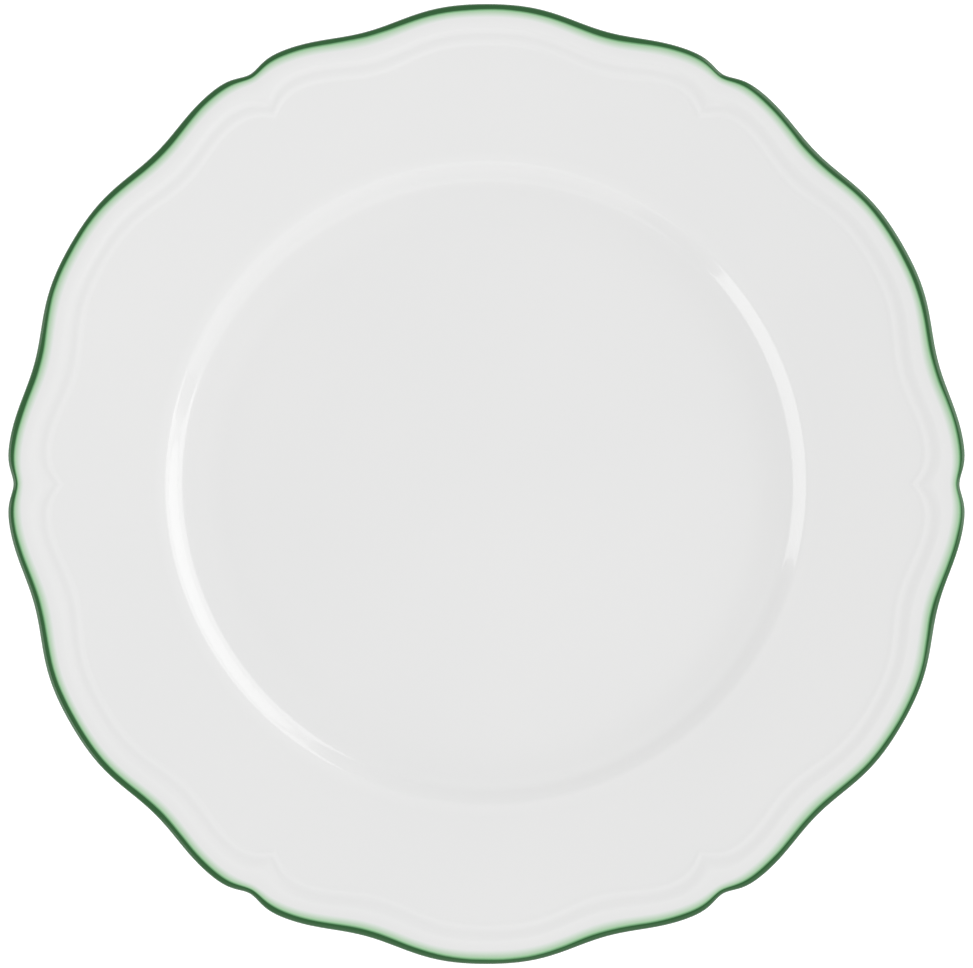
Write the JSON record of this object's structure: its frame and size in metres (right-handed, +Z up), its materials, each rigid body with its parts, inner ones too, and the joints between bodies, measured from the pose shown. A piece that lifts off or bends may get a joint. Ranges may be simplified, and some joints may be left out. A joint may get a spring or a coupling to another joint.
{
  "type": "dinner plate",
  "caption": "Round white porcelain dinner plate with a scalloped, notched rim, a moulded border, a dark green line on the lip with a pale green fringe, a shallow well and a foot ring.",
  "frame": {"origin": "centre of the plate at the level of the surface it stands on, which is the flat edge of the foot ring", "axes": "+Z up, out of the well; +X towards one of the notches in the rim; +Y towards the crown of a broad lobe midway between two notches"},
  "size_m": [0.2688, 0.27, 0.0223],
  "materials": {
    "biscuit_porcelain": "matte, bare fired porcelain, fine-grained",
    "clear_glaze": "high gloss over white porcelain",
    "pale_green_enamel": "glossy, pale green that fades to white",
    "dark_green_enamel": "glossy, dark green, hand-banded"
  },
  "bodies": {
    "root": {"porcelain_body": "biscuit_porcelain", "front_glaze": "clear_glaze", "pale_green_fringe": "pale_green_enamel", "dark_green_line": "dark_green_enamel", "back_glaze": "clear_glaze", "base_glaze": "clear_glaze"}
  },
  "joints": []
}
